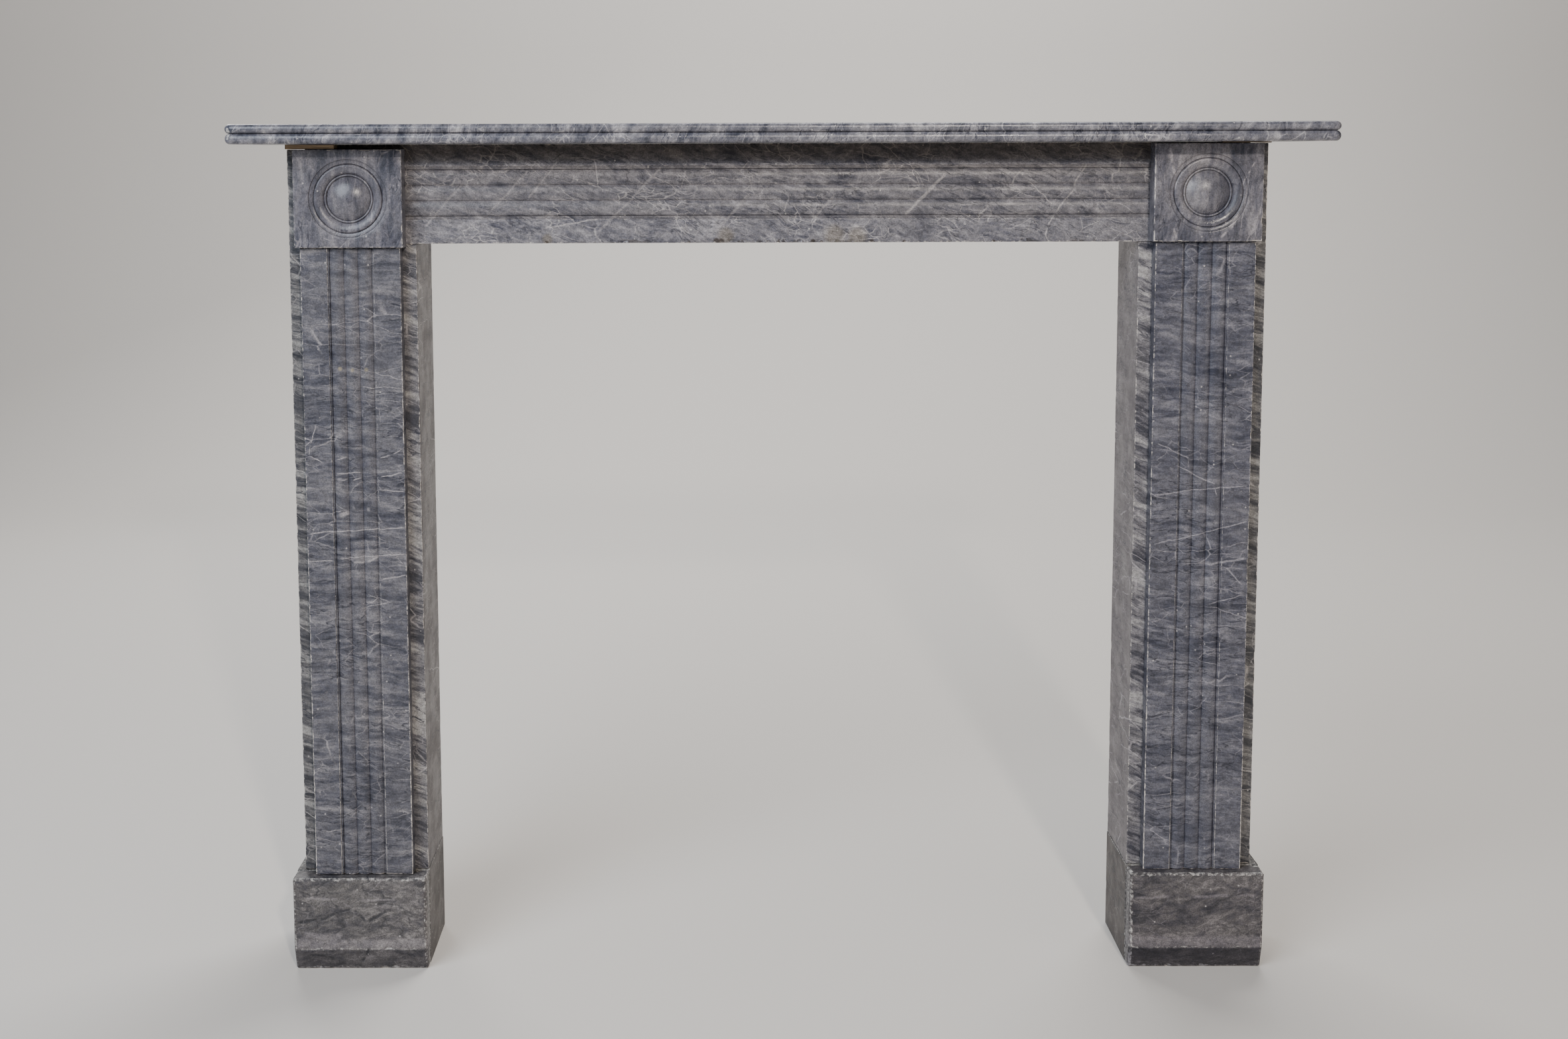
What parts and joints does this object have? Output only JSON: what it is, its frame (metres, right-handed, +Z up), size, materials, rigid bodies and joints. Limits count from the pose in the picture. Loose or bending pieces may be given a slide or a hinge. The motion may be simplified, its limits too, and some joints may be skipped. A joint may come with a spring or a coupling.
{
  "type": "fireplace mantel",
  "caption": "Slab-built marble fireplace surround: reeded jambs on plinths, corner blocks with turned roundels, a reeded frieze and a shelf with a reeded edge.",
  "frame": {"origin": "on the floor, at the middle of the bounding box, which is under the middle of the shelf", "axes": "+X along the shelf to the viewer's right, +Y from the front to the wall, +Z up"},
  "size_m": [1.524, 0.1984, 1.2232],
  "materials": {
    "shelf_marble": "satin polished blue-grey marble with pale cross veins",
    "frieze_marble": "satin grey marble with fine white veins",
    "block_marble": "polished grey marble with upright veins",
    "panel_marble": "satin dark blue-grey marble with wavy bands and white veins",
    "return_marble": "honed brownish grey marble",
    "plinth_marble": "worn dark grey marble with whitened arrises",
    "packing_wood": "raw brown softwood"
  },
  "bodies": {
    "root": {"mantel_shelf": "shelf_marble", "frieze": "frieze_marble", "left_corner_block": "block_marble", "right_corner_block": "block_marble", "left_jamb_panel": "panel_marble", "right_jamb_panel": "panel_marble", "left_outer_return": "return_marble", "right_outer_return": "return_marble", "left_inner_return": "return_marble", "right_inner_return": "return_marble", "left_plinth_front": "plinth_marble", "right_plinth_front": "plinth_marble", "left_plinth_inner_side": "plinth_marble", "right_plinth_inner_side": "plinth_marble", "left_plinth_outer_side": "plinth_marble", "right_plinth_outer_side": "plinth_marble", "left_packing_wedge": "packing_wood", "right_packing_strip": "packing_wood"}
  },
  "joints": []
}
